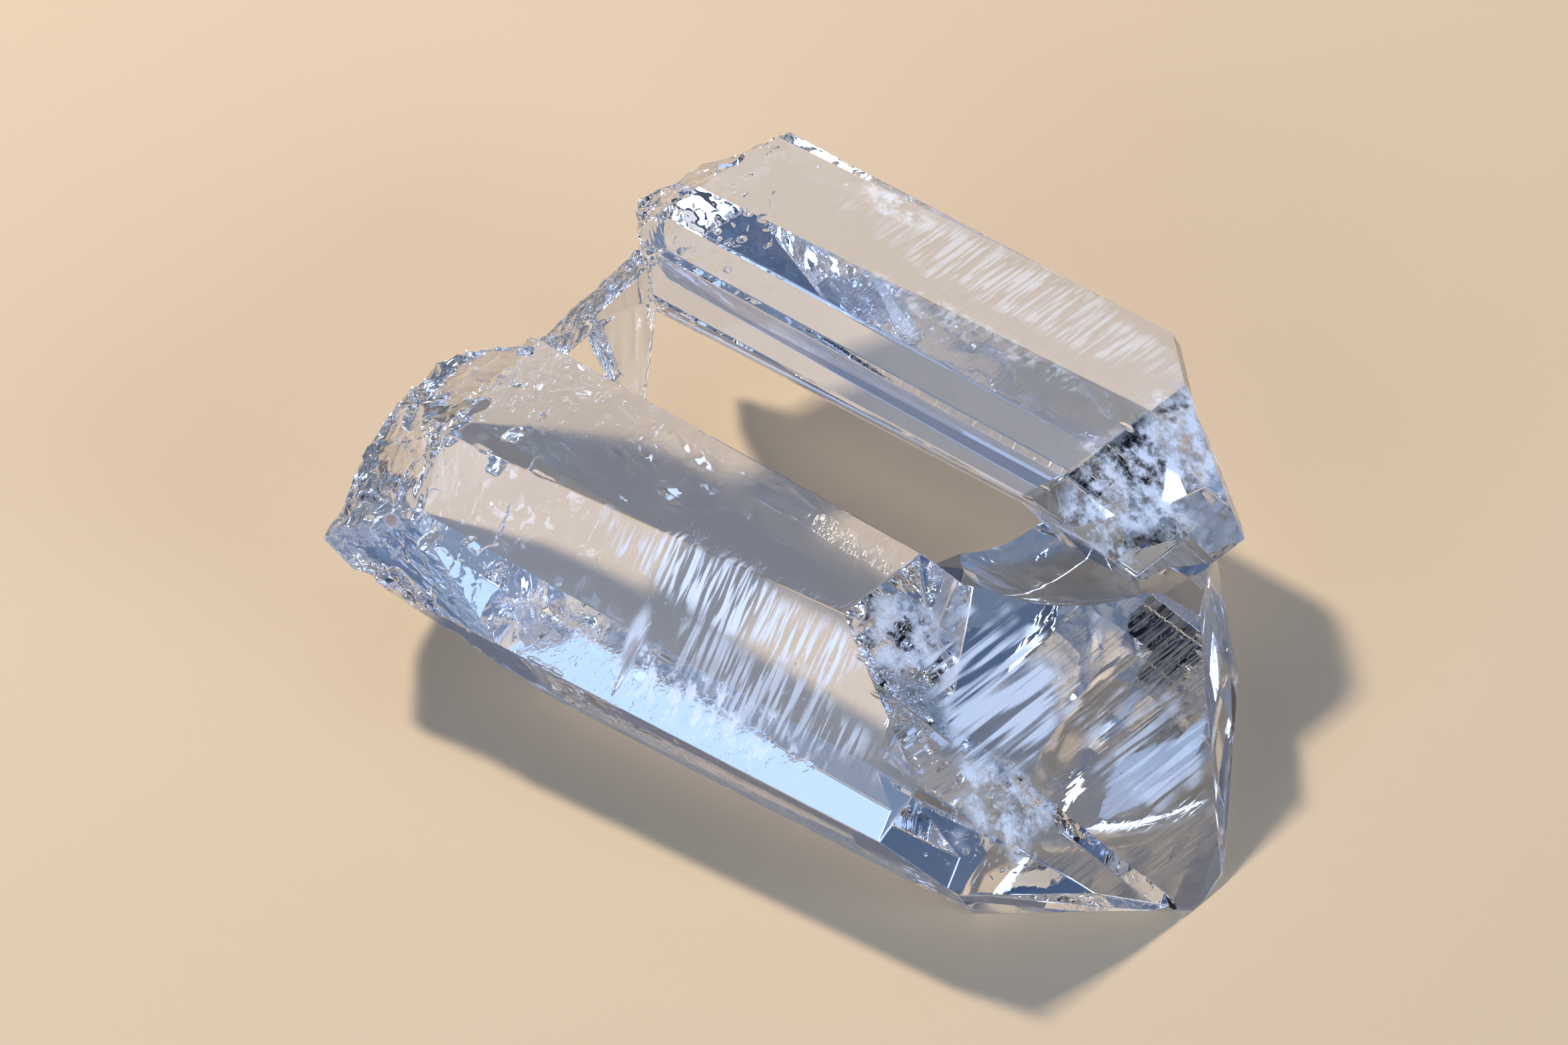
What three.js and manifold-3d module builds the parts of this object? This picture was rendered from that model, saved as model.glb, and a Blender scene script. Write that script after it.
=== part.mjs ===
// A natural specimen of clear rock crystal (quartz): two parallel prisms, a low wing that
// fuses their tips, and a broken bridge between their bases.
//
// Units are millimetres. +X runs along the crystals' common c axis towards the tips, +Y runs
// from the front crystal to the back one, and +Z is up. The specimen lies on the flat
// underside of the front crystal. While it is being built, the origin is the tip of the
// front crystal; at the end it moves to the middle of the footprint.
import * as THREE from 'three';
import { ConvexGeometry } from 'three/addons/geometries/ConvexGeometry.js';
import { mergeVertices } from 'three/addons/utils/BufferGeometryUtils.js';
import Module from 'manifold-3d';

const wasm = await Module();
wasm.setup();

// ---------------------------------------------------------------- driving dimensions

const REACH = 80;              // half size of the space that an unbounded face is clipped to
const RHOMB_SLOPE = 0.663;     // fall of a tip face that leans back from the top, per mm of X
const RHOMB_ALONG = 0.618;     // share of a tip face's normal that points along the c axis
const RHOMB_ACROSS = 0.786;    // share that points outwards, across the axis

const FRONT_HEIGHT = 10.66;    // top face of the front crystal above the table
const FRONT_BACK_EDGE = -1.25; // Y of the edge between its top and its rear upper face
const FRONT_RIDGE = [1.27, 6.3]; // Y and Z of the ridge between its two rear faces
const FRONT_REAR_TILT = -35;   // turn of the rear face under that ridge, ideal quartz -30
const FRONT_FACE_TILT = 142;   // turn of its large front face from +Y, ideal quartz 150
const FRONT_FACE_TAPER = 0.087; // how fast that face closes in towards the tip
const FRONT_UNDER_TAPER = 0.06; // the same for the narrow face below it

const WING_START = -16.3;      // X where the wing begins, at the window's right end
const WING_SLOPE = 0.385;      // fall of the wing's top per mm of Y
const WING_CREST = 9.2;        // height of that top at Y = 0

const BACK_TOP = 9.01;         // top face of the back crystal
const BACK_TIP_LINE = -16.0;   // X where its top meets its tip face
const BACK_FRONT_EDGE = [5.70, 6.03]; // Y of its front edge, at the base and at the tip
const BACK_REAR_EDGE = 19.3;   // Y of its rear edge
const SHEET_UNDERSIDE = [7.05, 8.1];  // Z under the thin front sheet, at the base and at the tip
const RIB_UNDERSIDE = 4.4;     // Z under the thick rib that stiffens the sheet

const BRIDGE_WINDOW = [        // corners of the small window in the bridge, top and bottom
  [-36.9, -1.4, 10.6], [-37.4, 0.6, 10.6], [-34.0, -1.6, 10.6],
  [-42.2, 4.0, 4.5], [-42.7, 6.1, 4.5], [-39.2, 3.9, 4.5],
];

const BASE_END = -46;          // X that the prisms are grown from, before their bases break
const SHELL_FACET = 0.5;       // width of the flat facets that round a shell's hollow
const CHIPS_PER_MM = 1.3;      // small chips along each mm of a break's rim
const CHIP_SIZE = [0.3, 0.95]; // least and greatest half width of a chip
const CHIP_DEPTH = [0.07, 0.24]; // how deep it bites
const NICK_SIZE = [0.08, 0.2]; // least and greatest half width of a nick in a grown edge

// ---------------------------------------------------------------- planes and convex solids

const toRadians = THREE.MathUtils.degToRad;

// A face is a unit normal and its distance from the origin; the solid lies behind it.
function face(x, y, z, point) {
  const normal = new THREE.Vector3(x, y, z).normalize();
  return { normal, offset: normal.dot(new THREE.Vector3(...point)) };
}

// Side faces are named by the turn of their normal from +Y towards +Z, with a small taper.
function prismFace(degrees, point, taper = 0) {
  const turn = toRadians(degrees);
  return face(taper, Math.cos(turn), Math.sin(turn), point);
}

// Tip faces lean back from the side face that has the same turn.
function tipFace(degrees, point) {
  const turn = toRadians(degrees);
  const across = RHOMB_ACROSS;
  return face(RHOMB_ALONG, across * Math.cos(turn), across * Math.sin(turn), point);
}

const TOP = 90;
const REAR_UPPER = 30;
const REAR_LOWER = -30;
const UNDER = -90;
const FRONT_LOWER = -150;
const FRONT_UPPER = 150;

function boundingFaces() {
  return [
    face(1, 0, 0, [REACH, 0, 0]), face(-1, 0, 0, [-REACH, 0, 0]),
    face(0, 1, 0, [0, REACH, 0]), face(0, -1, 0, [0, -REACH, 0]),
    face(0, 0, 1, [0, 0, REACH]), face(0, 0, -1, [0, 0, -REACH]),
  ];
}

// Where three faces meet, or null when two of them are parallel.
function meetingPoint(a, b, c) {
  const bc = new THREE.Vector3().crossVectors(b.normal, c.normal);
  const spread = a.normal.dot(bc);
  if (Math.abs(spread) < 1e-6) return null;
  const ca = new THREE.Vector3().crossVectors(c.normal, a.normal);
  const ab = new THREE.Vector3().crossVectors(a.normal, b.normal);
  return bc.multiplyScalar(a.offset)
    .add(ca.multiplyScalar(b.offset))
    .add(ab.multiplyScalar(c.offset))
    .divideScalar(spread);
}

// The corners of the space behind every face.
function cornersOf(faces) {
  const corners = [];
  for (let i = 0; i < faces.length; i += 1) {
    for (let j = i + 1; j < faces.length; j += 1) {
      for (let k = j + 1; k < faces.length; k += 1) {
        const corner = meetingPoint(faces[i], faces[j], faces[k]);
        if (!corner) continue;
        const inside = faces.every((f) => f.normal.dot(corner) < f.offset + 1e-6);
        const known = corners.some((c) => c.distanceTo(corner) < 1e-4);
        if (inside && !known) corners.push(corner);
      }
    }
  }
  return corners;
}

function solidFrom(positions, triangles) {
  return new wasm.Manifold(new wasm.Mesh({
    numProp: 3,
    vertProperties: new Float32Array(positions),
    triVerts: new Uint32Array(triangles),
  }));
}

// A convex solid from the faces that bound it. Faces that do not touch it drop out.
function convexSolid(faces) {
  const corners = cornersOf(faces);
  const triangles = [];
  for (const f of faces) {
    const ring = corners.map((c, i) => i)
      .filter((i) => Math.abs(f.normal.dot(corners[i]) - f.offset) < 1e-5);
    if (ring.length < 3) continue;
    const middle = new THREE.Vector3();
    ring.forEach((i) => middle.addScaledVector(corners[i], 1 / ring.length));
    const across = corners[ring[0]].clone().sub(middle).normalize();
    const along = new THREE.Vector3().crossVectors(f.normal, across);
    const turnOf = (i) => {
      const arm = corners[i].clone().sub(middle);
      return Math.atan2(arm.dot(along), arm.dot(across));
    };
    ring.sort((i, j) => turnOf(i) - turnOf(j));
    for (let i = 1; i < ring.length - 1; i += 1) {
      triangles.push(ring[0], ring[i], ring[i + 1]);
    }
  }
  return solidFrom(corners.flatMap((c) => c.toArray()), triangles);
}

// Everything in front of a face, for cutting away.
function spaceBeyond(f) {
  const back = { normal: f.normal.clone().negate(), offset: -f.offset };
  return convexSolid([back, ...boundingFaces()]);
}

function trim(solid, ...faces) {
  return faces.reduce((left, f) => left.subtract(spaceBeyond(f)), solid);
}

// A ball or ellipsoid with flat facets: the coarser it is, the more angular the chip it cuts.
function ball({ centre, radii, detail = 3, turn = [0, 0, 0] }) {
  const shape = new THREE.IcosahedronGeometry(1, detail);
  shape.deleteAttribute('normal');
  shape.deleteAttribute('uv');
  shape.scale(...radii);
  shape.rotateX(turn[0]);
  shape.rotateY(turn[1]);
  shape.rotateZ(turn[2]);
  shape.translate(...centre);
  const merged = mergeVertices(shape, 1e-4);
  return solidFrom(merged.attributes.position.array, merged.index.array);
}

// A convex piece stretched over a few points.
function hullOf(points) {
  const shape = new ConvexGeometry(points.map((p) => new THREE.Vector3(...p)));
  shape.deleteAttribute('normal');
  const merged = mergeVertices(shape, 1e-4);
  return solidFrom(merged.attributes.position.array, merged.index.array);
}

// The same run of numbers between 0 and 1 every time.
function repeatableRandom(seed) {
  let state = seed;
  return () => {
    state = (state * 1664525 + 1013904223) % 4294967296;
    return state / 4294967296;
  };
}

// ---------------------------------------------------------------- broken bases

// A shell: a wide, shallow hollow, where a large ball only just dips into a face.
function shell(f, spot, halfWidth, depth) {
  const radius = (halfWidth ** 2 + depth ** 2) / (2 * depth);
  const point = new THREE.Vector3(...spot);
  const rise = f.offset - f.normal.dot(point) + radius - depth;
  return ball({
    centre: point.addScaledVector(f.normal, rise).toArray(),
    radii: [radius, radius, radius],
    detail: Math.ceil(1.2 * radius / SHELL_FACET),
  });
}

// Small angular chips, knocked from a rim between two points of the break.
function rimChips([from, to], middle, random) {
  const between = ([low, high]) => low + (high - low) * random();
  const start = new THREE.Vector3(...from);
  const end = new THREE.Vector3(...to);
  const count = Math.round(start.distanceTo(end) * CHIPS_PER_MM);
  return Array.from({ length: count }, () => {
    const size = between(CHIP_SIZE);
    const spot = start.clone().lerp(end, random());
    const outward = spot.clone().sub(middle).normalize();
    const centre = spot.addScaledVector(outward, size - between(CHIP_DEPTH));
    return ball({
      centre: centre.toArray(),
      radii: [size * between([1, 2]), size * between([1, 1.6]), size],
      detail: size > 0.6 ? 1 : 0,
      turn: [between([0, 3]), between([0, 3]), between([0, 3])],
    });
  });
}

// Quartz breaks in shells. Rough faces give the break its overall lie, shells hollow them, and
// small chips fray the rims. A shell is [rough face, place, half width, depth].
function breakBase(solid, roughFaces, { shells, rims, inside, seed }) {
  const random = repeatableRandom(seed);
  const middle = new THREE.Vector3(...inside);
  const bites = [
    ...shells.map(([f, ...size]) => shell(roughFaces[f], ...size)),
    ...rims.flatMap((rim) => rimChips(rim, middle, random)),
  ];
  return bites.reduce((left, bite) => left.subtract(bite), trim(solid, ...roughFaces));
}

// ---------------------------------------------------------------- the front crystal

// The tip faces run on over the front crystal and the wing. The last one is the worn point.
const sharedTipFaces = [
  face(RHOMB_SLOPE, 0, 1, [0, 0, 0]),
  tipFace(FRONT_UPPER, [-9.92, -9.29, 6.58]),
  tipFace(FRONT_LOWER, [-7.4, -8.76, 0]),
  face(1, 0.25, -0.15, [-0.35, 0, 0]),
];

function frontPrism() {
  const frontTopEdge = [-16, -6.43, FRONT_HEIGHT];
  const underEdge = [-23, -9.5, 0];
  return convexSolid([
    prismFace(TOP, [0, 0, FRONT_HEIGHT]),
    prismFace(REAR_UPPER, [0, FRONT_BACK_EDGE, FRONT_HEIGHT]),
    prismFace(FRONT_REAR_TILT, [0, ...FRONT_RIDGE]),
    prismFace(UNDER, [0, 0, 0]),
    prismFace(FRONT_LOWER, underEdge, FRONT_UNDER_TAPER),
    prismFace(FRONT_FACE_TILT, frontTopEdge, FRONT_FACE_TAPER),
    face(-1, 0, 0, [BASE_END, 0, 0]),
    face(1, 0, 0, [10, 0, 0]),
  ]);
}

// A third, low crystal that grew over the front one's flank and under the back one's tip.
// Its top is a shallow curved break, so it reads as a lens between the two crystals.
function wing() {
  const block = convexSolid([
    face(0, WING_SLOPE, 1, [0, 0, WING_CREST]),
    face(0.337, 0.388, 0.857, [-8.14, 8.26, 5.4]),
    face(-0.985, -0.12, -0.1, [WING_START, 0, WING_CREST]),
    face(0.771, 0.555, 0.314, [-8.14, 8.26, 5.4]),
    tipFace(REAR_UPPER, [-8.35, 11.34, 2.7]),
    prismFace(REAR_LOWER, [0, 12.6, 2.7]),
    face(0, -1, 0, [0, -2.6, 0]),
    prismFace(UNDER, [0, 0, 0]),
    face(1, 0, 0, [10, 0, 0]),
  ]);
  const hollow = ball({
    centre: [-13.7, 9.5, 17.2], radii: [9, 14, 12], detail: 12, turn: [-0.367, 0, 0],
  });
  return block.subtract(hollow);
}

// ---------------------------------------------------------------- the back crystal

// A thin sheet, a thick rib under it and a blunt cap at the tip, all under one top face.
function backPrism() {
  const [baseEdge, tipEdge] = BACK_FRONT_EDGE;
  const edgeTaper = (tipEdge - baseEdge) / (BACK_TIP_LINE - BASE_END) * 0.866;
  const [thickZ, thinZ] = SHEET_UNDERSIDE;
  const thinning = (thinZ - thickZ) / (BACK_TIP_LINE - BASE_END);
  const above = prismFace(TOP, [0, 0, BACK_TOP + 2]);
  const start = face(-1, 0, 0, [BASE_END, 0, 0]);
  const end = face(1, 0, 0, [0, 0, 0]);
  const frontEdge = prismFace(FRONT_LOWER, [BACK_TIP_LINE, tipEdge, BACK_TOP], edgeTaper);
  const sheet = convexSolid([
    above, start, end, frontEdge,
    face(thinning, 0, -1, [BACK_TIP_LINE, 0, thinZ]),
    prismFace(REAR_UPPER, [0, BACK_REAR_EDGE, BACK_TOP]),
    prismFace(REAR_LOWER, [0, 19.6, 7.4]),
  ]);
  const rib = convexSolid([
    above, start, end,
    prismFace(FRONT_LOWER, [0, 10.2, 5.5]),
    prismFace(UNDER, [0, 0, RIB_UNDERSIDE]),
    prismFace(REAR_LOWER, [0, 12.66, RIB_UNDERSIDE]),
  ]);
  const cap = convexSolid([
    above, end, frontEdge,
    face(-0.95, 0.2, -0.25, [-16.8, 7, 8]),
    prismFace(UNDER, [0, 0, RIB_UNDERSIDE]),
    prismFace(REAR_LOWER, [0, 15.2, RIB_UNDERSIDE]),
  ]);
  return trim(
    sheet.add(rib).add(cap),
    prismFace(TOP, [0, 0, BACK_TOP]),
    face(RHOMB_SLOPE, 0, 1, [BACK_TIP_LINE, 0, BACK_TOP]),
    tipFace(REAR_UPPER, [-19, 19.56, BACK_TOP]),
    face(0.867, 0, 0.5, [-11.55, 0, 6.15]),
  );
}

// ---------------------------------------------------------------- the bridge and the breaks

// A thin shard left between the two broken bases. It hangs from the back crystal, meets the
// front one at both ends, and leaves a small three-cornered window between them.
function bridge() {
  const shard = hullOf([
    [-39.2, -0.8, 9.9], [-39.9, 2.2, 9.45], [-40.5, 4.3, 9.0], [-40.9, 6.6, 8.8],
    [-41.4, 8.4, 8.7], [-38.2, 6.1, 8.8], [-35.6, 2.4, 6.7], [-34.9, 1.2, 7.2],
    [-39.2, -0.8, 7.5], [-40.3, 4.4, 6.6], [-41.0, 8.4, 6.8], [-36.2, 2.6, 5.3],
    [-37.4, 0.8, 5.6], [-39.0, 6.4, 7.2],
  ]);
  return shard.subtract(hullOf(BRIDGE_WINDOW));
}

// Each break has a shoulder that slopes down from the top, and steeper faces at its end.
const frontBreak = [
  face(-0.353, -0.067, 0.933, [-37.4, -8.86, FRONT_HEIGHT]),
  face(-0.464, -0.507, 0.726, [-37.4, -8.86, FRONT_HEIGHT]),
  face(-0.885, -0.248, 0.394, [-41.79, -7.15, 9.27]),
  face(-0.82, 0.394, 0.416, [-42.7, -4.14, 9.18]),
  face(-0.52, 0.69, 0.505, [-41.43, -2.25, 9.78]),
  face(-0.897, -0.373, 0.236, [-40.8, -13.24, 5.48]),
  face(-0.891, -0.149, 0.428, [-42.19, -8.78, 7.88]),
  face(-0.271, -0.498, -0.824, [-40.76, -13.25, 5.47]),
  face(-0.98, 0, -0.2, [-43, -6, 8]),
];

const backBreak = [
  face(-0.42, 0, 0.907, [-42.3, 12, BACK_TOP]),
  face(-0.631, -0.775, -0.1, [-38.27, 5.85, BACK_TOP]),
  face(-0.662, -0.675, -0.326, [-41.47, 7.86, 9.39]),
  face(-0.925, 0.17, 0.341, [-44.85, 11.93, 7.83]),
  face(-0.846, 0.35, 0.402, [-44.03, 15.63, 8.21]),
  face(-0.9, 0, -0.43, [-44.6, 12, 6.5]),
];

const front = breakBase(trim(frontPrism().add(wing()), ...sharedTipFaces), frontBreak, {
  seed: 11,
  inside: [-34, -5, 5],
  shells: [
    [1, [-38.9, -11.1, 8.0], 3.0, 0.42], [1, [-40.6, -8.9, 8.3], 1.4, 0.14],
    [1, [-40.9, -11.8, 6.4], 1.1, 0.3], [0, [-39.4, -6.3, 9.9], 1.7, 0.16],
    [0, [-40.9, -5.0, 9.4], 1.5, 0.14], [0, [-40.3, -3.0, 9.8], 1.6, 0.16],
    [0, [-38.9, -3.6, 10.3], 1.3, 0.14], [0, [-39.3, -1.6, 10.3], 1.2, 0.14],
    [8, [-42.6, -6.5, 5.5], 2.4, 0.35], [8, [-42.4, -2.6, 4.6], 2.2, 0.3],
    [8, [-41.8, -8.0, 2.4], 2.2, 0.3], [7, [-37.5, -12.0, 3.6], 2.0, 0.25],
  ],
  rims: [
    [[-37.4, -8.86, 10.66], [-38.85, -1.25, 10.66]], [[-37.4, -8.86, 10.66], [-41.6, -7.1, 9.2]],
    [[-37.3, -9.2, 10.2], [-38.6, -11.2, 7.8]], [[-38.6, -11.2, 7.8], [-40.2, -12.7, 6.2]],
    [[-41.6, -7.1, 9.2], [-42.5, -4.2, 9.1]], [[-42.5, -4.2, 9.1], [-41.3, -2.4, 9.6]],
    [[-41.3, -2.4, 9.6], [-38.8, -1.2, 10.6]], [[-41.6, -7.1, 9.2], [-42.0, -8.8, 7.8]],
    [[-42.0, -8.8, 7.8], [-41.1, -12.2, 6.0]], [[-39.8, -13.2, 5.3], [-33.0, -12.8, 4.8]],
    [[-39.4, -13.0, 4.5], [-33.4, -11.4, 2.0]],
  ],
});

const back = breakBase(backPrism(), backBreak, {
  seed: 5,
  inside: [-35, 12, 6],
  shells: [
    [0, [-43.4, 11.8, 8.5], 1.1, 0.16], [0, [-43.0, 14.0, 8.7], 1.2, 0.18],
    [4, [-43.2, 16.9, 8.5], 1.7, 0.4], [0, [-42.5, 17.8, 8.9], 1.0, 0.14],
    [1, [-40.2, 7.5, 8.4], 1.4, 0.16], [3, [-44.6, 13.0, 7.0], 1.6, 0.25],
    [5, [-43.9, 14.0, 5.2], 1.8, 0.3],
  ],
  rims: [
    [[-38.27, 5.9, 9.0], [-42.6, 9.5, 9.0]], [[-42.6, 9.5, 9.0], [-42.3, 19.2, 9.0]],
    [[-42.6, 9.5, 9.0], [-44.8, 11.9, 7.9]], [[-44.8, 11.9, 7.9], [-44.0, 15.6, 8.2]],
    [[-44.0, 15.6, 8.2], [-42.2, 19.2, 9.0]],
  ],
});

// ---------------------------------------------------------------- pits and nicks

// A narrow etch pit on the front face, a slot on its lower edge, and nicks along the edges.
const pits = [
  ball({ centre: [-24.4, -10.85, 6.28], radii: [0.2, 0.26, 2.0], turn: [-0.65, 0.12, 0] }),
  ball({ centre: [-23.0, -10.3, 6.72], radii: [0.8, 0.14, 0.2] }),
];

function nicks() {
  const random = repeatableRandom(23);
  const edges = [
    [[-36, -9.9, 0], [-8, -8.8, 0]], [[-33, -12.9, 4.8], [-12, -10.7, 4.1]],
    [[-37, -8.6, 10.66], [-16.2, -6.45, 10.66]], [[-37, -1.25, 10.66], [-17, -1.25, 10.66]],
    [[-38, 5.75, 9.01], [-17, 6.0, 9.01]], [[-41, 19.3, 9.01], [-20, 19.3, 9.01]],
    [[-16, 6.4, 9.01], [-16, 16.4, 9.01]], [[-15.6, -6.6, 10.4], [-10, -9.2, 6.6]],
    [[-7.8, 7.9, 5.2], [-1.5, 1.6, 1.0]],
  ];
  return edges.flatMap(([from, to]) => [0, 1, 2].map(() => {
    const spot = new THREE.Vector3(...from).lerp(new THREE.Vector3(...to), random());
    const size = NICK_SIZE[0] + (NICK_SIZE[1] - NICK_SIZE[0]) * random();
    return ball({ centre: spot.toArray(), radii: [size * 3, size, size], detail: 1 });
  }));
}

const specimen = [...pits, ...nicks()]
  .reduce((whole, bite) => whole.subtract(bite), front.add(back).add(bridge()));

// ---------------------------------------------------------------- the finished part

function meshFrom(solid) {
  const mesh = solid.getMesh();
  const geometry = new THREE.BufferGeometry();
  geometry.setAttribute('position', new THREE.Float32BufferAttribute(mesh.vertProperties, 3));
  geometry.setIndex(Array.from(mesh.triVerts));
  return mergeVertices(geometry, 1e-4);
}

const geometry = meshFrom(specimen);
geometry.computeBoundingBox();
const box = geometry.boundingBox;

const quartz = new THREE.Mesh(geometry, new THREE.MeshStandardMaterial({
  color: 0xe4edf2,
  roughness: 0.04,
  metalness: 0,
  transparent: true,
  opacity: 0.35,
}));
quartz.name = 'quartz_crystal';
quartz.position.set(
  -(box.min.x + box.max.x) / 2,
  -(box.min.y + box.max.y) / 2,
  -box.min.z,
);

const part = new THREE.Group();
part.add(quartz);

export default part;
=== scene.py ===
# %% [markdown]
# # A clear quartz crystal
# Rock crystal is silicon dioxide that grew slowly from hot water in a rock cavity. This specimen
# is two parallel prisms, fused by a low wing near their tips, and snapped off the rock at
# the other end. The notebook loads the measured solids, gives them a finer surface, and then
# adds what makes clear quartz look real: sharp refraction, growth lines, healed cracks,
# a milky cloud and rough shell-shaped breaks.

import math

import bmesh
import bpy
from mathutils import Matrix, Vector, noise


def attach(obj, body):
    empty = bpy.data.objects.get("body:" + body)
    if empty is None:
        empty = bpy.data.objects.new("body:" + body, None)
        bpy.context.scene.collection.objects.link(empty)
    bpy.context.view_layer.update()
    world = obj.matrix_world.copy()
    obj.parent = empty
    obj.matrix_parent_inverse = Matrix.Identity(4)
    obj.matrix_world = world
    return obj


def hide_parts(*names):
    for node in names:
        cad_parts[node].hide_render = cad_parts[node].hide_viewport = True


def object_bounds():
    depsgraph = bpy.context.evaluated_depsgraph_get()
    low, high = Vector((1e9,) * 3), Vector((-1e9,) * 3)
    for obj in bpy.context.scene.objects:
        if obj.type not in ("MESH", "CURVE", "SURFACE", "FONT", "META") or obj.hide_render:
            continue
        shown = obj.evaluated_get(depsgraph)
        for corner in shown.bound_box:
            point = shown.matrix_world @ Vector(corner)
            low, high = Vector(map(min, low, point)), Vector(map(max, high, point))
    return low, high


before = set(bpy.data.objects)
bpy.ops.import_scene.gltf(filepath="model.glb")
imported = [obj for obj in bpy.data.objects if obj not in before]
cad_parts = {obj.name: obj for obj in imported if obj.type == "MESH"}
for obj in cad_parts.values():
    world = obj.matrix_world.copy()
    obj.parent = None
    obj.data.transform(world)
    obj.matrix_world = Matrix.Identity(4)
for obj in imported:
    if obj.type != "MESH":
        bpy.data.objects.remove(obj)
CAD_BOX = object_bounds()
LOW, HIGH = (Vector(corner) for corner in CAD_BOX)
MM = 0.001
CRYSTAL = "quartz_crystal"
print("crystal box, mm:", [round(v / MM, 1) for v in HIGH - LOW])

# %% [markdown]
# Places inside the crystal are easiest to name from the front crystal's tip: X runs along the
# prisms, Y from the front crystal to the back one, Z up from the stone's lowest point. Two
# helpers turn such a place, in millimetres, into the model's frame in metres, and back.

# %% Places measured from the tip
REAR_REACH = 19.915  # mm in Y from the tip to the specimen's rearmost point
TIP = Vector((HIGH.x, HIGH.y - REAR_REACH * MM, LOW.z))


def place(x, y, z):
    return TIP + Vector((x, y, z)) * MM


def from_tip(point):
    return (point - TIP) / MM


print("tip at, mm:", [round(v / MM, 2) for v in TIP])


# %% [markdown]
# Three small helpers serve the materials and node trees below. The first turns the colour
# codes that people pick on a screen into the linear values that a renderer adds up. The second
# adds a node, sets its options, and either links or fills its inputs. The third starts an
# empty material.

# %% Colour and node helpers
def linear(code):
    channels = [int(code[i:i + 2], 16) / 255 for i in (1, 3, 5)]
    curve = [c / 12.92 if c <= 0.04045 else ((c + 0.055) / 1.055) ** 2.4 for c in channels]
    return (*curve, 1.0)


def add_node(tree, kind, inputs=None, **settings):
    node = tree.nodes.new(kind)
    for name, value in settings.items():
        setattr(node, name, value)
    for key, value in (inputs or {}).items():
        socket = node.inputs[key]
        if isinstance(value, bpy.types.NodeSocket):
            tree.links.new(value, socket)
        else:
            socket.default_value = value
    return node


def new_material(name):
    material = bpy.data.materials.new(name)
    material.use_nodes = True
    material.node_tree.nodes.clear()
    return material, material.node_tree


print("screen grey #808080 is linear", round(linear("#808080")[0], 3))

# %% [markdown]
# ## Camera
# The camera looks down on the specimen from the front right with a long lens, so the prisms
# keep nearly parallel edges.

# %% Camera
CAMERA_AZIMUTH = math.radians(40.83)
CAMERA_ELEVATION = math.radians(39.82)
CAMERA_PLACE = place(132.09, -175.50, 205.65)
LENS_MM = 159.8
SENSOR_MM = 36
FRAME_SHIFT = (-0.061, -0.029)

toward_camera = Vector((
    math.sin(CAMERA_AZIMUTH) * math.cos(CAMERA_ELEVATION),
    -math.cos(CAMERA_AZIMUTH) * math.cos(CAMERA_ELEVATION),
    math.sin(CAMERA_ELEVATION),
))
camera_right = Vector((0, 0, 1)).cross(toward_camera).normalized()
camera_up = toward_camera.cross(camera_right)
camera_data = bpy.data.cameras.new("camera")
camera_data.lens = LENS_MM
camera_data.sensor_width = SENSOR_MM
camera_data.shift_x, camera_data.shift_y = FRAME_SHIFT
camera = bpy.data.objects.new("camera", camera_data)
bpy.context.scene.collection.objects.link(camera)
turn = Matrix((camera_right, camera_up, toward_camera)).transposed().to_4x4()
camera.matrix_world = Matrix.Translation(CAMERA_PLACE) @ turn
bpy.context.scene.camera = camera
print("camera is", round((CAMERA_PLACE - TIP).length / MM), "mm from the tip")

# %% [markdown]
# ## Floor and light
# A pale warm card is the floor, matt, so that it takes soft shadows and mirrors nothing. Clear
# stone shows little colour of its own, so the light does most of the work. One small warm lamp
# draws crisp shadows and glints, as low sun does. Cool soft boxes stand where the faces mirror
# them, and the rest of the surroundings stays dimmer, so that edges and inner faces have
# something dark to show.

# %% Floor
floor_material, tree = new_material("Pale warm card")
shader = add_node(tree, "ShaderNodeBsdfPrincipled", {
    "Base Color": linear("#CCB698"), "Roughness": 0.7,
})
add_node(tree, "ShaderNodeOutputMaterial", {"Surface": shader.outputs["BSDF"]})
FLOOR_HALF = 1.5
FLOOR_GAP = 0.02 * MM
bpy.ops.mesh.primitive_plane_add(size=2 * FLOOR_HALF, location=(0, 0, 0))
floor = bpy.context.object
floor.name = "floor"
floor.data.materials.append(floor_material)
floor.location.z = LOW.z - FLOOR_GAP
print("floor at", round(floor.location.z / MM, 2), "mm")


# %% Lamps
LAMP_DISTANCE = 0.7


def soft_box(name, azimuth, elevation, size, power, colour):
    """A rectangular lamp, aimed at the crystal. Azimuth is in degrees from -Y towards +X."""
    a, e = math.radians(azimuth), math.radians(elevation)
    way = Vector((math.sin(a) * math.cos(e), -math.cos(a) * math.cos(e), math.sin(e)))
    data = bpy.data.lights.new(name, "AREA")
    data.shape = "RECTANGLE"
    data.size, data.size_y = size
    data.energy = power
    data.color = linear(colour)[:3]
    box = bpy.data.objects.new(name, data)
    box.location = way * LAMP_DISTANCE
    box.rotation_euler = way.to_track_quat("Z", "Y").to_euler()
    bpy.context.scene.collection.objects.link(box)


soft_box("key_box", 256, 36, (0.055, 0.055), 6.2, "#FFF0DC")
soft_box("sky_box", 222, 46, (0.42, 0.34), 0.42, "#B9D3FF")
soft_box("front_box", -22, 27, (0.34, 0.24), 0.75, "#BFD6FF")
soft_box("low_front_box", 5, 13, (0.6, 0.25), 3.0, "#CCDFFF")
soft_box("low_tip_box", 100, 18, (0.45, 0.25), 3.6, "#D6E5FF")
scene = bpy.context.scene

# %% [markdown]
# The room itself is a soft blue-grey that grows brighter towards the top. A light path inside
# the crystal is turned back many times before it leaves, so it is followed for twenty turns.

# %% The room
ROOM_STRENGTH = 0.35
TURNS_INSIDE = 20
MIRROR_TURNS = 8

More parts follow.
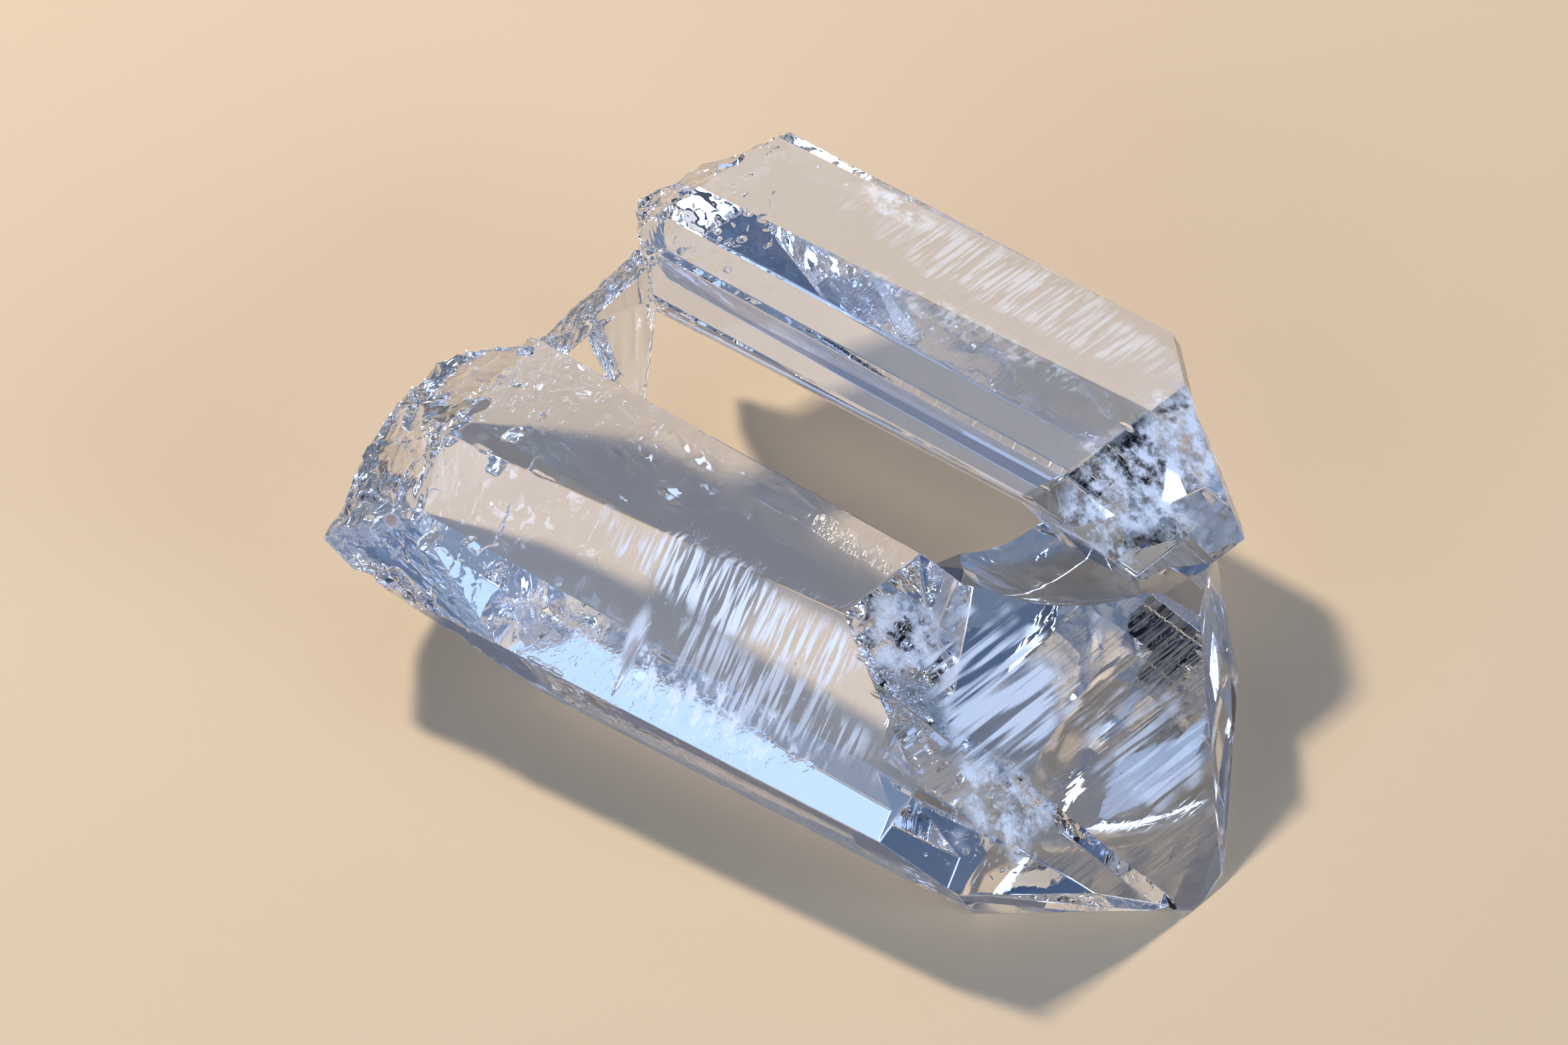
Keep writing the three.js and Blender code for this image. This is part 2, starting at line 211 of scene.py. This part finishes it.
world = bpy.data.worlds.new("Soft room")
scene.world = world
world.use_nodes = True
tree = world.node_tree
tree.nodes.clear()
way = add_node(tree, "ShaderNodeTexCoord").outputs["Generated"]
height = add_node(tree, "ShaderNodeSeparateXYZ", {0: way}).outputs["Z"]
shade = add_node(tree, "ShaderNodeValToRGB", {"Fac": height})
stops = shade.color_ramp.elements
stops[0].position, stops[0].color = 0.0, linear("#565D6B")
stops[1].position, stops[1].color = 0.75, linear("#B4CCEE")
middle = stops.new(0.3)
middle.color = linear("#6C8EC6")
background = add_node(tree, "ShaderNodeBackground", {
    "Color": shade.outputs["Color"], "Strength": ROOM_STRENGTH,
})
add_node(tree, "ShaderNodeOutputWorld", {"Surface": background.outputs["Background"]})
scene.cycles.max_bounces = TURNS_INSIDE
scene.cycles.transmission_bounces = TURNS_INSIDE
scene.cycles.glossy_bounces = MIRROR_TURNS
scene.view_settings.view_transform = "Standard"
print("room colours:", len(stops), "turns inside the crystal:", TURNS_INSIDE)

# %% [markdown]
# ## The crystal's surface
# The measured solid has the right size and shape, but it is made of plain triangles. A copy of
# it is merged into whole facets, and each facet is marked as grown or broken. Grown faces of
# quartz are almost perfectly flat, so they are shaded flat. A grown face runs along the prism,
# or caps it at the tip; a broken one lies at the base, and is small or leans away from the tip.

# %% Copy the solid and merge its facets
MERGE = 0.004 * MM                # corners that lie nearer than this become one
FLAT_ANGLE = math.radians(0.6)    # triangles that turn by less than this are one facet
GROWN_AREA = 2.0 * MM ** 2        # a facet smaller than this keeps its sharp edges
BREAK_START = -33.5               # X in mm from the tip where the broken bases begin
BREAK_LEAN = -0.2                 # a broken face's normal leans back by more than this

work = bmesh.new()
work.from_mesh(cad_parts[CRYSTAL].data)
bmesh.ops.remove_doubles(work, verts=work.verts, dist=MERGE)
bmesh.ops.dissolve_limit(work, angle_limit=FLAT_ANGLE, verts=work.verts, edges=work.edges)
work.normal_update()
broken = work.faces.layers.float.new("broken")
small = work.faces.layers.float.new("small")
for face in work.faces:
    at_break = from_tip(face.calc_center_median()).x < BREAK_START
    little = face.calc_area() < GROWN_AREA
    face[broken] = float(at_break and (little or face.normal.x < BREAK_LEAN))
    face[small] = float(little or face[broken] > 0)
print("facets:", len(work.faces), "of which broken:", sum(f[broken] > 0 for f in work.faces))

# %% [markdown]
# The long edges between grown faces are worn by a hair's breadth, because a real edge catches
# a thin line of light. A bevel in two steps does it.

# %% Wear the long edges
EDGE_WEAR = 0.05 * MM
EDGE_ANGLE = math.radians(12)     # an edge that turns by less is left as it is
LEAST_EDGE = 4 * EDGE_WEAR        # and so is a shorter one


def is_long_edge(edge):
    if not edge.is_manifold or any(face[small] for face in edge.link_faces):
        return False
    return edge.calc_face_angle() > EDGE_ANGLE and edge.calc_length() > LEAST_EDGE


long_edges = [edge for edge in work.edges if is_long_edge(edge)]
worn = bmesh.ops.bevel(
    work, geom=long_edges, offset=EDGE_WEAR, offset_type="OFFSET", segments=2,
    profile=0.5, affect="EDGES", clamp_overlap=False,
)
for face in worn["faces"]:
    face[small] = 1.0
    face[broken] = 0.0
worn_area = sum(face.calc_area() for face in worn["faces"])
worn_length = sum(edge.calc_length() for edge in worn["edges"])
worn_width = round(worn_area / worn_length / MM, 3)
print("worn edges:", len(long_edges), "mean strip width, mm:", worn_width)

# %% [markdown]
# ## Shell-shaped breaks
# Quartz has hardly any planes of weakness. It breaks in shells, like thick glass: smooth
# hollows that meet in sharp rims. The measured solid has the large shells. The small ones come
# from a Voronoi pattern, which is the distance to the nearest of many scattered points:
# squared, it is a field of little dishes with sharp rims between them. The broken facets are
# cut into fine triangles and pushed by that pattern, so that they bend light as real shape does.
# The thin bridge between the bases tore instead in long fibres that run down to its lower tip.

# %% The relief of a break
BRIDGE_SIDES = (-0.6, 8.6)        # Y in mm from the tip of the bridge's two sides
BRIDGE_START = -41.6              # X of its far end
SHOULDER_EDGE = -8.9              # Y where the front break's smoother outer slope begins
FIBRE = Vector((5.8, -6.6, -3.4)).normalized()
FIBRE_STRETCH = 0.93              # share of the way along a fibre that its pattern ignores
RIDGE_FALL = 3                    # how fast a fibre's ridge falls off to its sides
SUNK_SHARE = 0.55                 # share of a dish's depth below the face; rims take the rest
# size and depth in mm of the coarse and the fine relief
BRIDGE_FIBRES = ((0.8, 0.09), (0.3, 0.03))
SMOOTH_SHELLS = ((2.2, 0.12), (0.7, 0.015))
SHARP_SHELLS = ((1.3, 0.16), (0.5, 0.05))


def shells(point, size, depth):
    """Height in mm of a field of dishes that are about one size, in mm, across."""
    near = noise.voronoi(point / size)[0]
    return depth * (min(near[0], 1.0) ** 2 - SUNK_SHARE)


def fibres(point, size, depth):
    """Height in mm of long ridges that follow the bridge down."""
    across = point - FIBRE_STRETCH * point.dot(FIBRE) * FIBRE
    return depth * (1 - RIDGE_FALL * abs(noise.noise(across / size)))


def relief(point):
    """Height in mm that the broken surface stands out at a place."""
    if BRIDGE_SIDES[0] < point.y < BRIDGE_SIDES[1] and point.x > BRIDGE_START:
        return sum(fibres(point, size, depth) for size, depth in BRIDGE_FIBRES)
    rough = SMOOTH_SHELLS if point.y < SHOULDER_EDGE else SHARP_SHELLS
    return sum(shells(point, size, depth) for size, depth in rough)


print("relief at the bridge's middle, mm:", round(relief(Vector((-39.0, 4.0, 8.0))), 3))


# %% Cut the broken facets fine and push them
RELIEF_MESH = 0.15 * MM
LONGEST_SIDE = 1.5 * RELIEF_MESH
MOST_ROUNDS = 6

for _ in range(MOST_ROUNDS):
    bmesh.ops.triangulate(work, faces=work.faces)
    coarse = [
        edge for edge in work.edges if edge.calc_length() > LONGEST_SIDE
        and any(face[broken] > 0 for face in edge.link_faces)
    ]
    if not coarse:
        break
    bmesh.ops.subdivide_edges(
        work, edges=coarse, cuts=1, use_single_edge=True, use_grid_fill=True,
    )
work.normal_update()
pushed = {}
for vert in work.verts:
    if vert.link_faces and all(face[broken] > 0 for face in vert.link_faces):
        pushed[vert] = vert.co + vert.normal * relief(from_tip(vert.co)) * MM
for vert, co in pushed.items():
    vert.co = co
print("points pushed into relief:", len(pushed))

# %% [markdown]
# Cutting leaves a few triangles that lie back to back on the same three corners. They enclose
# nothing, so they are deleted. Then the hollows are shaded smooth, and every fold sharper than
# the rim angle stays a crisp line.

# %% Smooth hollows, sharp rims
RIM_ANGLE = math.radians(26)

bmesh.ops.triangulate(work, faces=work.faces)
same_corners = {}
for face in work.faces:
    same_corners.setdefault(frozenset(face.verts), []).append(face)
doubled = [face for group in same_corners.values() if len(group) > 1 for face in group]
bmesh.ops.delete(work, geom=doubled, context="FACES")
work.normal_update()
for face in work.faces:
    face.smooth = face[small] > 0.5
for edge in work.edges:
    if edge.is_manifold:
        edge.smooth = edge.calc_face_angle() < RIM_ANGLE
surface = bpy.data.meshes.new("crystal_surface")
work.to_mesh(surface)
crystal = bpy.data.objects.new("crystal", surface)
scene.collection.objects.link(crystal)
open_edges = sum(not edge.is_manifold for edge in work.edges)
print("triangles:", len(work.faces), "open edges:", open_edges)

# %% [markdown]
# ## Cracks inside the stone
# A crack in quartz is a gap of air thinner than a hair. Light that meets it at a slant is
# turned back completely, so it shines like a mirror, and that gives a broken base
# and a milky cloud their glitter. Each crack is a thin, wavy, closed lens. Geometry Nodes
# scatters them, because they repeat hundreds of times: one tree throws points around a
# middle, keeps those that lie well inside the stone, and sets a lens on each. The faces
# of a lens point into the gap, away from the stone, so it is part of the stone's own surface.
# Its material is quartz again, a little rougher, under a thin film such as the trace of water
# that old cracks hold. The film gives the eye a faint play of colour on some of them.

# %% The material of a crack
QUARTZ_IOR = 1.544
CRACK_ROUGHNESS = 0.02
FILM_NM = 420.0
FILM_IOR = 1.33

crack_material, tree = new_material("Air gap in quartz, thin film")
shader = add_node(tree, "ShaderNodeBsdfPrincipled", {
    "Base Color": linear("#FFFFFF"), "Roughness": CRACK_ROUGHNESS, "IOR": QUARTZ_IOR,
    "Transmission Weight": 1.0, "Thin Film Thickness": FILM_NM, "Thin Film IOR": FILM_IOR,
})
add_node(tree, "ShaderNodeOutputMaterial", {"Surface": shader.outputs["BSDF"]})
print("crack material:", crack_material.name)

# %% A tree that scatters cracks
cracks_tree = bpy.data.node_groups.new("Cracks in a stone", "GeometryNodeTree")
sockets = {}
for name, kind in (
    ("Geometry", "NodeSocketGeometry"), ("Stone", "NodeSocketObject"),
    ("Middle", "NodeSocketVector"), ("Spread", "NodeSocketVector"), ("Count", "NodeSocketInt"),
    ("Smallest", "NodeSocketFloat"), ("Largest", "NodeSocketFloat"),
    ("Lean", "NodeSocketVector"),
    ("Flatness", "NodeSocketFloat"), ("Wave", "NodeSocketFloat"), ("Spokes", "NodeSocketInt"),
    ("Rings", "NodeSocketInt"), ("Clearance", "NodeSocketFloat"), ("Seed", "NodeSocketInt"),
    ("Material", "NodeSocketMaterial"),
):
    made = cracks_tree.interface.new_socket(name=name, in_out="INPUT", socket_type=kind)
    sockets[name] = made.identifier
cracks_tree.interface.new_socket(
    name="Geometry", in_out="OUTPUT", socket_type="NodeSocketGeometry",
)
given = add_node(cracks_tree, "NodeGroupInput").outputs
print("inputs:", len(sockets))

# %% Points around the middle
SEEDS_USED = 4  # two for the place, one for the size, one for the turn and the waves

seeds = []
for step in range(SEEDS_USED):
    more = add_node(cracks_tree, "FunctionNodeIntegerMath", {0: given["Seed"], 1: step})
    seeds.append(more.outputs[0])
throws = [add_node(cracks_tree, "FunctionNodeRandomValue", {
    "Min": (-1, -1, -1), "Max": (1, 1, 1), "Seed": seed,
}, data_type="FLOAT_VECTOR").outputs["Value"] for seed in seeds[:2]]
thrown = add_node(cracks_tree, "ShaderNodeVectorMath", {
    0: throws[0], 1: throws[1],
}, operation="ADD")
spot = add_node(cracks_tree, "ShaderNodeVectorMath", {
    0: thrown.outputs[0], 1: given["Spread"], 2: given["Middle"],
}, operation="MULTIPLY_ADD")
size = add_node(cracks_tree, "FunctionNodeRandomValue", {
    2: given["Smallest"], 3: given["Largest"], "Seed": seeds[2],
}, data_type="FLOAT")
points = add_node(cracks_tree, "GeometryNodePoints", {
    "Count": given["Count"], "Position": spot.outputs[0], "Radius": size.outputs[1],
})
print("nodes so far:", len(cracks_tree.nodes))

# %% Keep the points that lie inside the stone
stone = add_node(cracks_tree, "GeometryNodeObjectInfo", {"Object": given["Stone"]})
here = add_node(cracks_tree, "GeometryNodeInputPosition").outputs[0]
radius = add_node(cracks_tree, "GeometryNodeInputRadius").outputs[0]
nearest = add_node(cracks_tree, "GeometryNodeProximity", {
    0: stone.outputs["Geometry"], "Sample Position": here,
})
outward = add_node(cracks_tree, "GeometryNodeInputNormal").outputs[0]
facing = add_node(cracks_tree, "GeometryNodeSampleNearestSurface", {
    "Mesh": stone.outputs["Geometry"], "Value": outward, "Sample Position": here,
}, data_type="FLOAT_VECTOR")
offset = add_node(cracks_tree, "ShaderNodeVectorMath", {
    0: here, 1: nearest.outputs["Position"],
}, operation="SUBTRACT")
above = add_node(cracks_tree, "ShaderNodeVectorMath", {
    0: offset.outputs[0], 1: facing.outputs[0],
}, operation="DOT_PRODUCT")
outside = add_node(cracks_tree, "FunctionNodeCompare", {
    0: above.outputs["Value"], 1: 0.0,
}, data_type="FLOAT", operation="GREATER_THAN")
room = add_node(cracks_tree, "ShaderNodeMath", {
    0: radius, 1: given["Clearance"],
}, operation="ADD")
too_near = add_node(cracks_tree, "FunctionNodeCompare", {
    0: nearest.outputs["Distance"], 1: room.outputs[0],
}, data_type="FLOAT", operation="LESS_THAN")
unfit = add_node(cracks_tree, "FunctionNodeBooleanMath", {
    0: outside.outputs[0], 1: too_near.outputs[0],
}, operation="OR")
kept = add_node(cracks_tree, "GeometryNodeDeleteGeometry", {
    "Geometry": points.outputs[0], "Selection": unfit.outputs[0],
}, domain="POINT")
print("nodes so far:", len(cracks_tree.nodes))

# %% One wavy lens
LENS_RADIUS = 0.8                 # of a crack's size, which leaves room for its waves
WAVINESS = (1.6, 1.6, 0.0)        # waves along and across a lens, none through it

ball = add_node(cracks_tree, "GeometryNodeMeshUVSphere", {
    "Segments": given["Spokes"], "Rings": given["Rings"], "Radius": LENS_RADIUS,
})
ball_place = add_node(cracks_tree, "GeometryNodeInputPosition").outputs[0]
shift = add_node(cracks_tree, "ShaderNodeCombineXYZ", {0: seeds[3]})
noise_place = add_node(cracks_tree, "ShaderNodeVectorMath", {
    0: ball_place, 1: WAVINESS, 2: shift.outputs[0],
}, operation="MULTIPLY_ADD")
bend = add_node(cracks_tree, "ShaderNodeTexNoise", {
    "Vector": noise_place.outputs[0], "Scale": 1.0, "Detail": 1.0,
})
centred = add_node(cracks_tree, "ShaderNodeVectorMath", {
    0: bend.outputs["Color"], 1: (0.5, 0.5, 0.5),
}, operation="SUBTRACT")
push = add_node(cracks_tree, "ShaderNodeVectorMath", {
    0: centred.outputs[0], "Scale": given["Wave"],
}, operation="SCALE")
squash = add_node(cracks_tree, "ShaderNodeCombineXYZ", {
    0: 1.0, 1: 1.0, 2: given["Flatness"],
})
flat_place = add_node(cracks_tree, "ShaderNodeVectorMath", {
    0: ball_place, 1: squash.outputs[0], 2: push.outputs[0],
}, operation="MULTIPLY_ADD")
lens = add_node(cracks_tree, "GeometryNodeSetPosition", {
    "Geometry": ball.outputs["Mesh"], "Position": flat_place.outputs[0],
})
turned = add_node(cracks_tree, "GeometryNodeFlipFaces", {"Mesh": lens.outputs[0]})
smooth = add_node(cracks_tree, "GeometryNodeSetShadeSmooth", {"Geometry": turned.outputs[0]})
print("nodes so far:", len(cracks_tree.nodes))

# %% Set a lens on every point
turn_throw = add_node(cracks_tree, "FunctionNodeRandomValue", {
    "Min": (-1, -1, -1), "Max": (1, 1, 1), "Seed": seeds[3],
}, data_type="FLOAT_VECTOR")
normal = add_node(cracks_tree, "ShaderNodeVectorMath", {
    0: turn_throw.outputs["Value"], 1: given["Lean"],
}, operation="ADD")
turn = add_node(cracks_tree, "FunctionNodeAlignRotationToVector", {
    "Vector": normal.outputs[0],
}, axis="Z")
placed = add_node(cracks_tree, "GeometryNodeInstanceOnPoints", {
    "Points": kept.outputs[0], "Instance": smooth.outputs[0],
    "Rotation": turn.outputs[0], "Scale": radius,
})
joined = add_node(cracks_tree, "GeometryNodeJoinGeometry", {0: placed.outputs[0]})
cracks_tree.links.new(given["Geometry"], joined.inputs[0])
real = add_node(cracks_tree, "GeometryNodeRealizeInstances", {"Geometry": joined.outputs[0]})
finished = add_node(cracks_tree, "GeometryNodeSetMaterial", {
    "Geometry": real.outputs[0], "Material": given["Material"],
})
add_node(cracks_tree, "NodeGroupOutput", {0: finished.outputs[0]})
print("nodes in the tree:", len(cracks_tree.nodes))

# %% [markdown]
# Seven swarms use the tree: large and small cracks behind the front break, small ones behind
# the back break, a dense milky cloud in the front tip, a veil of tiny gaps where an old crack
# healed, and a few specks in each tip. Places are in millimetres from the tip.

# %% Where the cracks lie
SWARMS = [
    # middle, spread, count, smallest and largest half width, lean, wave, spokes, rings
    ((-38.5, -6.5, 6.5), (2.2, 3.4, 2.0), 16, 0.5, 1.3, (-2, 0, 0.8), 0.5, 16, 6),
    ((-39.5, -6.5, 7.5), (1.6, 3.0, 1.8), 60, 0.12, 0.4, (-1, 0, 0.4), 0.4, 8, 4),
    ((-40.5, 13.0, 7.6), (1.8, 4.0, 0.6), 90, 0.10, 0.4, (-1, 0, 0.8), 0.4, 8, 4),
    ((-8.0, -6.2, 3.4), (1.7, 1.3, 1.1), 220, 0.04, 0.22, (0, 0, 0), 0.6, 8, 4),
    ((-21.0, -8.0, 7.0), (5.0, 0.5, 0.8), 60, 0.03, 0.10, (0, 1, 0), 0.4, 8, 4),
    ((-5.5, -1.0, 2.4), (2.4, 2.4, 0.9), 16, 0.04, 0.12, (0, 0, 0), 0.5, 8, 4),
    ((-14.8, 11.5, 6.6), (1.4, 3.0, 0.9), 24, 0.04, 0.14, (0, 0, 0), 0.5, 8, 4),
]
FLATNESS = 0.07                   # thickness of a crack over its width
CLEARANCE = 0.05 * MM             # stone that is left between a crack and the surface
FIRST_SEED = 11
SEED_STEP = 7                     # more than the seeds that one swarm uses

swarms = bpy.data.objects.new("cracks", bpy.data.meshes.new("cracks"))
scene.collection.objects.link(swarms)
for number, swarm in enumerate(SWARMS):
    middle, spread, count, smallest, largest, lean, wave, spokes, rings = swarm
    chosen = {
        "Stone": crystal, "Middle": tuple(place(*middle)),
        "Spread": tuple(s * MM for s in spread),
        "Count": count, "Smallest": smallest * MM, "Largest": largest * MM, "Lean": lean,
        "Flatness": FLATNESS, "Wave": wave, "Spokes": spokes, "Rings": rings,
        "Clearance": CLEARANCE, "Seed": FIRST_SEED + SEED_STEP * number,
        "Material": crack_material,
    }
    modifier = swarms.modifiers.new(f"swarm_{number}", "NODES")
    modifier.node_group = cracks_tree
    for name, value in chosen.items():
        modifier[sockets[name]] = value
evaluated = swarms.evaluated_get(bpy.context.evaluated_depsgraph_get())
crack_mesh = bpy.data.meshes.new_from_object(evaluated)
bpy.data.objects.remove(swarms)
print("crack faces:", len(crack_mesh.polygons))

# %% [markdown]
# The lenses join the crystal's own mesh, so that it stays one piece. They are closed shells
# inside it, and carry the second material.

# %% The crystal as one piece
for polygon in crack_mesh.polygons:
    polygon.material_index = 1
work.from_mesh(crack_mesh)
bmesh.ops.triangulate(work, faces=work.faces)
work.to_mesh(surface)
work.free()
print("crystal triangles:", len(surface.polygons))

# %% [markdown]
# ## Clear quartz
# Quartz bends light a little more than window glass does: its refractive index is 1.544, and
# the glass has about 1.52. It takes almost no colour out of the light. What makes it look like
# a crystal and not like glass is its growth: combs of fine lines that run across the prism,
# feathery or milky patches that scatter light, and streaks over the tip faces. To the eye they
# are a white bloom on something otherwise as clear as water. All of them are patterns of the
# place measured from the tip, in millimetres. Between them a face is clean.
#
# Real growth lines lie from about a hundredth to some tenths of a millimetre apart. Most are
# too fine to show, so they are drawn as coarse as they need to be: a comb's lines about 0.2 mm
# apart and a streak's 0.25 mm. Feathers are about 0.6 mm wide and clots of milk 0.9 mm.

# %% Distance from the tip
quartz, tree = new_material("Clear rock crystal quartz, as grown")
where = add_node(tree, "ShaderNodeTexCoord").outputs["Object"]
from_tip_mm = add_node(tree, "ShaderNodeMapping", {
    "Vector": where, "Location": tuple(-TIP / MM), "Scale": (1 / MM,) * 3,
}).outputs["Vector"]
print("pattern units in a metre:", round(1 / MM))

# %% Growth patterns
PATTERNS = {
    # marks in each mm along X, Y and Z, detail, roughness, then what counts as 0 and as 1
    "uneven": ((0.6, 0.6, 0.6), 1.0, 0.55, 0.0, 1.0),
    "comb": ((5.2, 0.4, 0.4), 1.0, 0.5, 0.44, 0.58),
    "streaks": ((4.0, 0.16, 0.5), 1.0, 0.6, 0.42, 0.6),
    "feathers": ((1.6, 0.8, 0.8), 3.0, 0.7, 0.47, 0.64),
    "milk": ((1.1, 1.1, 1.1), 4.0, 0.7, 0.38, 0.64),
}
patterns = {}
for name, (scale, detail, rough, low, high) in PATTERNS.items():
    stretched = add_node(tree, "ShaderNodeMapping", {"Vector": from_tip_mm, "Scale": scale})
    lumps = add_node(tree, "ShaderNodeTexNoise", {
        "Vector": stretched.outputs["Vector"], "Scale": 1.0, "Detail": detail,
        "Roughness": rough,
    })
    patterns[name] = add_node(tree, "ShaderNodeMapRange", {
        "Value": lumps.outputs["Fac"], "From Min": low, "From Max": high,
    }, interpolation_type="SMOOTHSTEP").outputs["Result"]
print("growth patterns:", ", ".join(patterns))


# %% Patches
RAGGED = 0.7         # how far a hazy patch's edge wanders, as a share of its size
STAIN_RAGGED = 0.3
FADE = (1.0, 0.5)    # a patch starts at the first share of its size and is full at the second


def patch(centre, radii, marks, amount, ragged=RAGGED):
    """A growth pattern that fades out towards the uneven edge of an ellipsoid."""
    local = add_node(tree, "ShaderNodeMapping", {
        "Vector": from_tip_mm, "Location": tuple(-c / r for c, r in zip(centre, radii)),
        "Scale": tuple(1 / r for r in radii),
    })
    far = add_node(tree, "ShaderNodeVectorMath", {0: local.outputs["Vector"]}, operation="LENGTH")
    edge = add_node(tree, "ShaderNodeMath", {
        0: patterns["uneven"], 1: ragged, 2: far.outputs["Value"],
    }, operation="MULTIPLY_ADD")
    share = add_node(tree, "ShaderNodeMapRange", {
        "Value": edge.outputs[0], "From Min": FADE[0] + ragged / 2,
        "From Max": FADE[1] + ragged / 2, "To Max": amount,
    }, interpolation_type="SMOOTHSTEP")
    return add_node(tree, "ShaderNodeMath", {
        0: share.outputs["Result"], 1: patterns[marks],
    }, operation="MULTIPLY").outputs[0]


def strongest(shares):
    """The largest of several patches at each place."""
    most = shares[0]
    for share in shares[1:]:
        larger = add_node(tree, "ShaderNodeMath", {0: most, 1: share}, operation="MAXIMUM")
        most = larger.outputs[0]
    return most


print("a patch fades from", FADE[0], "to", FADE[1], "of its size")

# %% Hazy patches, a painted glint and brown stains
HAZE_AND_PAINTED_GLINT = [
    # middle and half sizes from the tip, mm; pattern; how white
    ((-20.5, -7.9, 9.6), (9.5, 1.4, 2.0), "comb", 0.95),
    ((-20.0, -10.8, 5.8), (8.0, 1.6, 2.6), "feathers", 0.80),
    ((-17.5, -9.6, 7.2), (7.0, 1.6, 2.2), "comb", 0.50),
    ((-14.4, -4.9, 9.4), (2.6, 2.6, 1.6), "milk", 0.70),
    ((-24.7, -10.2, 6.9), (0.55, 1.6, 2.2), "uneven", 0.90),
    ((-7.4, -6.4, 4.6), (3.4, 2.3, 2.2), "milk", 0.85),
    ((-10.5, -2.6, 6.8), (5.0, 4.4, 3.6), "streaks", 0.85),
    ((-5.4, 1.4, 3.6), (3.6, 3.4, 2.4), "streaks", 0.60),
    ((-25.5, 17.2, 9.0), (11.0, 2.3, 0.6), "comb", 0.34),
    ((-34.2, 18.2, 9.0), (2.4, 1.0, 0.6), "milk", 0.60),
    ((-26.0, 13.6, 9.0), (9.0, 0.9, 0.6), "feathers", 0.35),
    # The whitest patch, over the back crystal's tip face, is a painted highlight: it paints the
    # glint of the warm key lamp shining out through that tip.
    ((-13.9, 12.4, 7.9), (3.7, 8.0, 2.7), "milk", 0.97),
]
STAINS = [
    # the same for brown stains: a fleck at the break and one in the etch pit
    ((-38.0, -11.7, 7.1), (0.55, 0.45, 0.4), "uneven", 1.4),
    ((-24.6, -10.6, 6.1), (0.35, 1.0, 1.4), "uneven", 0.8),
]
haze_and_painted_glint = strongest([patch(*spot) for spot in HAZE_AND_PAINTED_GLINT])
stain = strongest([patch(*spot, ragged=STAIN_RAGGED) for spot in STAINS])
print("hazy patches:", len(HAZE_AND_PAINTED_GLINT), "stains:", len(STAINS))

# %% [markdown]
# Growth lines are ridges one to six thousandths of a millimetre high. That is far too low to
# model, but enough to bend light, so a bump follows the same patterns. It works only on grown
# faces, and only where the lines are; the rest of a face stays as flat as a mirror.

# %% Fine relief of the grown faces
RELIEF = [
    # middle and half sizes from the tip, mm; pattern; height in mm
    ((-20.0, -9.0, 8.0), (11.0, 3.4, 3.4), "comb", 0.0022),
    ((-9.0, 4.0, 5.0), (9.5, 11.0, 6.0), "streaks", 0.0016),
    ((-25.0, 14.5, 9.0), (12.0, 6.0, 0.8), "comb", 0.0012),
    ((-25.0, -7.5, 0.5), (10.0, 6.0, 2.4), "feathers", 0.0060),
]
lines = strongest([patch(*spot) for spot in RELIEF])
broken_here = add_node(tree, "ShaderNodeAttribute", attribute_name="broken").outputs["Fac"]
grown_here = add_node(tree, "ShaderNodeMath", {0: 1.0, 1: broken_here}, operation="SUBTRACT")
height_mm = add_node(tree, "ShaderNodeMath", {
    0: lines, 1: grown_here.outputs[0],
}, operation="MULTIPLY")
bump = add_node(tree, "ShaderNodeBump", {
    "Height": height_mm.outputs[0], "Strength": 1.0, "Distance": MM,
})
print("highest growth lines, mm:", max(spot[3] for spot in RELIEF))

# %% [markdown]
# Where a face is clear it lets light through and is as smooth as glass. Where it is hazy it
# scatters light from a rougher, whiter surface. The stone itself is a very faint cold blue,
# which only a long way through it would show.

# %% The quartz shader
CLEAR_ROUGHNESS = 0.004
HAZY_ROUGHNESS = 0.35             # added where the haze is complete
ABSORPTION = 4.0                  # density per metre

tint = add_node(tree, "ShaderNodeMix", {
    0: stain, 6: linear("#F2F7FF"), 7: linear("#8C6244"),
}, data_type="RGBA")
# The share that is not clear: haze, brown stains, and the painted highlight on the back tip.
cloud_stain_and_painted_glint = add_node(tree, "ShaderNodeMath", {0: haze_and_painted_glint, 1: stain}, operation="MAXIMUM")
clear = add_node(tree, "ShaderNodeMath", {0: 1.0, 1: cloud_stain_and_painted_glint.outputs[0]}, operation="SUBTRACT")
roughness = add_node(tree, "ShaderNodeMath", {
    0: cloud_stain_and_painted_glint.outputs[0], 1: HAZY_ROUGHNESS, 2: CLEAR_ROUGHNESS,
}, operation="MULTIPLY_ADD")
shader = add_node(tree, "ShaderNodeBsdfPrincipled", {
    "Base Color": tint.outputs[2], "Roughness": roughness.outputs[0], "IOR": QUARTZ_IOR,
    "Transmission Weight": clear.outputs[0], "Normal": bump.outputs["Normal"],
})
absorb = add_node(tree, "ShaderNodeVolumeAbsorption", {
    "Color": linear("#DCEBFF"), "Density": ABSORPTION,
})
add_node(tree, "ShaderNodeOutputMaterial", {
    "Surface": shader.outputs["BSDF"], "Volume": absorb.outputs["Volume"],
})
surface.materials.append(quartz)
surface.materials.append(crack_material)
print("quartz nodes:", len(tree.nodes))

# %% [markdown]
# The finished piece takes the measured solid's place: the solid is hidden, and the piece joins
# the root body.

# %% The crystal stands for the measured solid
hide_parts(CRYSTAL)
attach(crystal, "root")
print("pieces:", crystal.name, "for", CRYSTAL)
